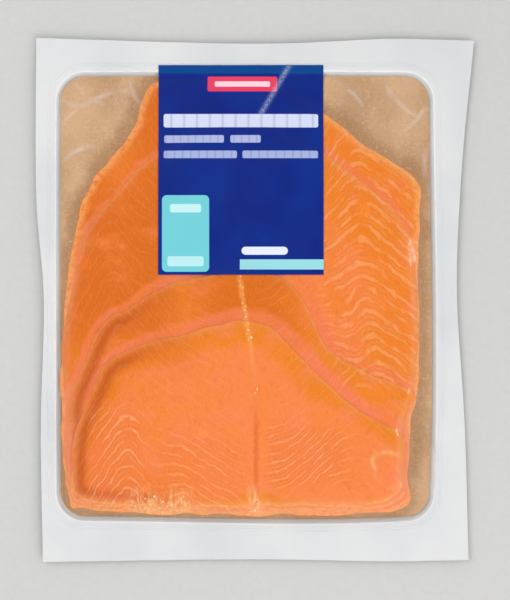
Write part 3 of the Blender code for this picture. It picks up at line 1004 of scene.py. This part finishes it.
def make_film(lattice, outline, heights):
    """The clear film, with the places where it is creased."""
    net = PatchNet(outline, FILM_NET)
    under = lattice.read(heights, net.points)
    values = {"crease": film_creases(net.points, 0.8 * WRINKLE_WIDTH)}
    piece = slab("top_film_sheet", net, under, under + FILM_THICKNESS, clear_film_finish(), values)
    finished(piece, "top_film", "top_film")


def make_label(lattice, heights, loop):
    """The paper label: it bridges the film's small folds."""
    low, high = loop.min(axis=0), loop.max(axis=0)
    net = PatchNet(np.array([low, (high[0], low[1]), high, (low[0], high[1])]), LABEL_NET)
    film = heights + FILM_THICKNESS
    stiff = np.maximum(film, lattice.blurred(film, LABEL_BRIDGE)) + CONTACT
    crease = ridge(net.points, LABEL_CREASE, CREASE_WIDTH)
    under = lattice.read(stiff, net.points) + CREASE_HEIGHT * crease
    across, up = ((net.points - low) / MM).T
    values = {"across": across, "up": up, "crease": crease}
    piece = slab("label_sheet", net, under, under + LABEL_THICKNESS, label_finish(), values)
    finished(piece, "label", "label")


# ---------------- small repeated things


def new_tree(name, sockets):
    """A Geometry Nodes tree with a geometry input and output, and the named inputs."""
    tree = bpy.data.node_groups.new(name, "GeometryNodeTree")
    tree.interface.new_socket("Geometry", in_out="INPUT", socket_type="NodeSocketGeometry")
    for socket, kind in sockets.items():
        tree.interface.new_socket(socket, in_out="INPUT", socket_type="NodeSocket" + kind)
    tree.interface.new_socket("Geometry", in_out="OUTPUT", socket_type="NodeSocketGeometry")
    nodes = Nodes(tree)
    return tree, nodes, nodes.add("NodeGroupInput").outputs


def end_tree(nodes, geometry, material):
    """Makes the instances real, gives them their material and puts them out."""
    real = nodes.add("GeometryNodeRealizeInstances", {"Geometry": geometry}).outputs[0]
    smooth = nodes.add("GeometryNodeSetShadeSmooth", {"Geometry": real}).outputs[0]
    coated = nodes.add("GeometryNodeSetMaterial", {"Geometry": smooth, "Material": material}).outputs[0]
    nodes.join(coated, nodes.add("NodeGroupOutput").inputs["Geometry"])


def lump_sizes(nodes, given):
    """A random size for each lump, flattened along its own Z."""
    limits = {"Min": given["Smallest"], "Max": given["Largest"], "Seed": given["Seed"]}
    size = nodes.add("FunctionNodeRandomValue", limits, data_type="FLOAT").outputs["Value"]
    return nodes.combined(size, size, nodes.times(size, given["Flatness"]))


def beads_tree(name):
    """Uneven lumps strung along a path, each a little off it."""
    sizes = dict.fromkeys(("Spacing", "Sideways", "Smallest", "Largest", "Flatness"), "Float")
    tree, nodes, given = new_tree(name, {**sizes, "Seed": "Int", "Material": "Material"})
    path = {"Curve": given["Geometry"], "Length": given["Spacing"]}
    points = nodes.add("GeometryNodeCurveToPoints", path, mode="LENGTH").outputs["Points"]
    nudge = nodes.add("FunctionNodeRandomValue", {"Seed": given["Seed"]}, data_type="FLOAT_VECTOR")
    nudge.inputs["Min"].default_value = (-1, -1, 0)
    nudge.inputs["Max"].default_value = (1, 1, 0)
    offset = nodes.add("ShaderNodeVectorMath", {0: nudge.outputs[0]}, operation="SCALE")
    nodes.join(given["Sideways"], offset.inputs["Scale"])
    places = {"Geometry": points, "Offset": offset.outputs[0]}
    moved = nodes.add("GeometryNodeSetPosition", places).outputs[0]
    bead = nodes.add("GeometryNodeMeshIcoSphere", {"Radius": 1.0, "Subdivisions": 2}).outputs["Mesh"]
    beads = nodes.add("GeometryNodeInstanceOnPoints",
                      {"Points": moved, "Instance": bead, "Scale": lump_sizes(nodes, given)})
    end_tree(nodes, beads.outputs[0], given["Material"])
    return tree


def ribs_tree():
    """A low round rib along a path."""
    tree, nodes, given = new_tree("seal_rib", {"Radius": "Float", "Material": "Material"})
    profile = nodes.add("GeometryNodeCurvePrimitiveCircle", {"Resolution": 8, "Radius": given["Radius"]})
    rib = nodes.add("GeometryNodeCurveToMesh",
                    {"Curve": given["Geometry"], "Profile Curve": profile.outputs["Curve"]}).outputs[0]
    end_tree(nodes, rib, given["Material"])
    return tree


def grown(name, source, tree, inputs):
    """The plain mesh that a tree makes from the source object, as a new piece at the origin."""
    modifier = source.modifiers.new("grow", "NODES")
    modifier.node_group = tree
    for socket in tree.interface.items_tree:
        if socket.in_out == "INPUT" and socket.name in inputs:
            modifier[socket.identifier] = inputs[socket.name]
    evaluated = source.evaluated_get(bpy.context.evaluated_depsgraph_get())
    mesh = bpy.data.meshes.new_from_object(evaluated)
    mesh.name = name
    source.modifiers.remove(modifier)
    piece = bpy.data.objects.new(name, mesh)
    bpy.context.scene.collection.objects.link(piece)
    return piece


def path_object(name, lines, closed):
    """A curve object with one straight-sided spline for each line of points."""
    curve = bpy.data.curves.new(name, "CURVE")
    curve.dimensions = "3D"
    for points in lines:
        spline = curve.splines.new("POLY")
        spline.points.add(len(points) - 1)
        spline.points.foreach_set("co", np.column_stack([points, np.ones(len(points))]).ravel())
        spline.use_cyclic_u = closed
    obj = bpy.data.objects.new(name, curve)
    bpy.context.scene.collection.objects.link(obj)
    return obj


def beads_along(name, lattice, pile, lines, inputs):
    """Beads strung on the top of the pile along each line of points."""
    lines = [np.column_stack([line, lattice.read(pile, line)]) for line in lines]
    path = path_object(name + "_path", lines, closed=False)
    finished(grown(name, path, beads_tree(name), inputs), "salmon")
    bpy.data.objects.remove(path, do_unlink=True)


def make_fat_beads(lattice, pile):
    """Beads of fat in a few places along the seam, and crumbs of it at the bottom end."""
    material = fat_finish()
    stretches = []
    for start, end in SEAM_STRETCHES:
        y = np.arange(start * MM, end * MM, BEAD_PATH_STEP)
        stretches.append(np.column_stack([midline(y), y]))
    beads_along("seam_fat_beads", lattice, pile, stretches, {
        "Spacing": 1.7 * MM, "Sideways": 1.0 * MM, "Smallest": 0.05 * MM, "Largest": 0.8 * MM,
        "Flatness": 0.22, "Seed": 5, "Material": material,
    })
    x = np.arange(CRUMBS_FROM, CRUMBS_TO, BEAD_PATH_STEP)
    rows = [np.column_stack([x, np.full(len(x), y * MM)]) for y in CRUMB_ROWS]
    beads_along("bottom_fat_crumbs", lattice, pile, rows, {
        "Spacing": 2.6 * MM, "Sideways": 2.0 * MM, "Smallest": 0.1 * MM, "Largest": 0.65 * MM,
        "Flatness": 0.3, "Seed": 8, "Material": material,
    })


def make_seal_ribs(lattice, window, border, material):
    """Two fine ribs of the heat seal, round the window."""
    rings = [shifted(window, -distance) for distance in RIB_OFFSETS]
    lines = [np.column_stack([ring, lattice.read(border, ring)]) for ring in rings]
    path = path_object("seal_path", lines, closed=True)
    inputs = {"Radius": RIB_RADIUS, "Material": material}
    finished(grown("seal_ribs", path, ribs_tree(), inputs), "base_film")
    bpy.data.objects.remove(path, do_unlink=True)


# ---------------- stage


def make_floor():
    mesh = bpy.data.meshes.new("floor")
    corners = [(x * FLOOR_HALF, y * FLOOR_HALF, 0) for x, y in ((-1, -1), (1, -1), (1, 1), (-1, 1))]
    mesh.from_pydata(corners, [], [(0, 1, 2, 3)])
    mesh.materials.append(floor_finish())
    floor = bpy.data.objects.new("floor", mesh)
    floor.location.z = -FLOOR_DROP
    bpy.context.scene.collection.objects.link(floor)


def aimed(obj, place, target):
    obj.location = place
    obj.rotation_euler = (Vector(target) - Vector(place)).to_track_quat("-Z", "Y").to_euler()
    bpy.context.scene.collection.objects.link(obj)


def make_light(name, place, size, power, mirrored):
    """A round lamp aimed at the pack, seen in the film's gloss or not."""
    light = bpy.data.lights.new(name, "AREA")
    light.shape = "DISK"
    light.size = size
    light.energy = power
    holder = bpy.data.objects.new(name, light)
    holder.visible_glossy = mirrored
    aimed(holder, place, (0, 0, 0))


def make_camera(low, high):
    """A camera that looks straight down on the pack."""
    camera = bpy.data.cameras.new("camera")
    camera.lens = LENS
    camera.clip_start, camera.clip_end = 0.01, 10
    shown = (high.y - low.y) / PACK_SHARE_OF_FRAME
    height = shown * camera.lens / camera.sensor_width
    holder = bpy.data.objects.new("camera", camera)
    holder.location = ((low.x + high.x) / 2, (low.y + high.y) / 2, height)
    bpy.context.scene.collection.objects.link(holder)
    bpy.context.scene.camera = holder


def make_room():
    """A soft room: pale all round, and dimmer straight above, so that flat film mirrors little."""
    world = bpy.data.worlds.new("soft_room")
    world.use_nodes = True
    nodes = Nodes(world.node_tree)
    direction = nodes.add("ShaderNodeTexCoord").outputs["Generated"]
    height = nodes.add("ShaderNodeSeparateXYZ", {"Vector": direction}).outputs["Z"]
    brightness = nodes.scaled(nodes.ramp(height, 0.97, 0.55), ROOM_PALE, ROOM_DIM)
    background = world.node_tree.nodes["Background"]
    background.inputs["Color"].default_value = (1, 1, 1, 1)
    nodes.join(brightness, background.inputs["Strength"])
    bpy.context.scene.world = world


def make_stage(low, high):
    make_floor()
    for lamp in LAMPS:
        make_light(*lamp)
    make_room()
    bpy.context.scene.view_settings.view_transform = "Standard"
    make_camera(low, high)


# ---------------- the pack


def clear_scene():
    for obj in list(bpy.data.objects):
        bpy.data.objects.remove(obj, do_unlink=True)


def main():
    clear_scene()
    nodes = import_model()["nodes"]
    cad_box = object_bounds()
    low, high = cad_box
    lattice = Lattice(low, high)

    outline = top_outline(nodes["base_film"])
    card = top_outline(nodes["backing_card"])
    window = shifted(smooth_curve(card, WINDOW_STEP), -(WALL_RUN + CARD_CLEARANCE))
    cuts = [smooth_curve(top_outline(nodes[name]), RIM_STEP) for name in SLICES]
    rims = [ragged(cut, seed) for seed, cut in enumerate(cuts)]
    in_window = lattice.depth_in(window)
    border = border_heights(lattice, nodes["base_film"], in_window)

    make_base(lattice, outline, window, border)
    make_card(card, rims[0])
    pile = make_slices(lattice, rims)
    make_fat_beads(lattice, pile)
    film = film_heights(lattice, pile, border, in_window)
    make_film(lattice, outline, film)
    make_label(lattice, film, top_outline(nodes["label"]))
    make_stage(low, high)


main()
